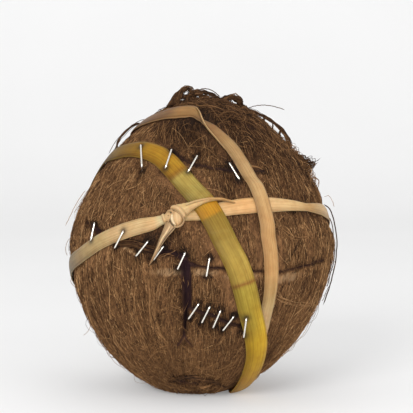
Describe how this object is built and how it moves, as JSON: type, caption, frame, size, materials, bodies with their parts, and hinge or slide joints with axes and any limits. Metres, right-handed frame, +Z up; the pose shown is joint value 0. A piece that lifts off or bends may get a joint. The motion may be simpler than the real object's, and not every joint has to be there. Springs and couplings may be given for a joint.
{
  "type": "coconut",
  "caption": "Brown coconut in its fibre coat, with a cracked shell closed by wire staples and bound with knotted strips of leaf.",
  "frame": {"origin": "middle of the flat spot that the coconut rests on", "axes": "+Z up along the coconut's long axis to the end with the eyes and the tuft, -Y out of the stapled front, +X to the right as the front is seen"},
  "size_m": [0.1109, 0.111, 0.1274],
  "materials": {
    "husk": "rough, matted brown fibre",
    "pale_leaf": "dry pale leaf, satin",
    "tan_leaf": "dry tan leaf, satin",
    "green_leaf": "leaf drying from green to amber, satin",
    "wire": "bright wire"
  },
  "bodies": {
    "root": {"coconut": "husk", "tie_strip": "pale_leaf", "tan_strip": "tan_leaf", "green_strip": "green_leaf", "staple_01": "wire", "staple_02": "wire", "staple_03": "wire", "staple_04": "wire", "staple_05": "wire", "staple_06": "wire", "staple_07": "wire", "staple_08": "wire", "staple_09": "wire", "staple_10": "wire", "staple_11": "wire", "staple_12": "wire", "staple_13": "wire", "staple_14": "wire", "staple_15": "wire"}
  },
  "joints": []
}
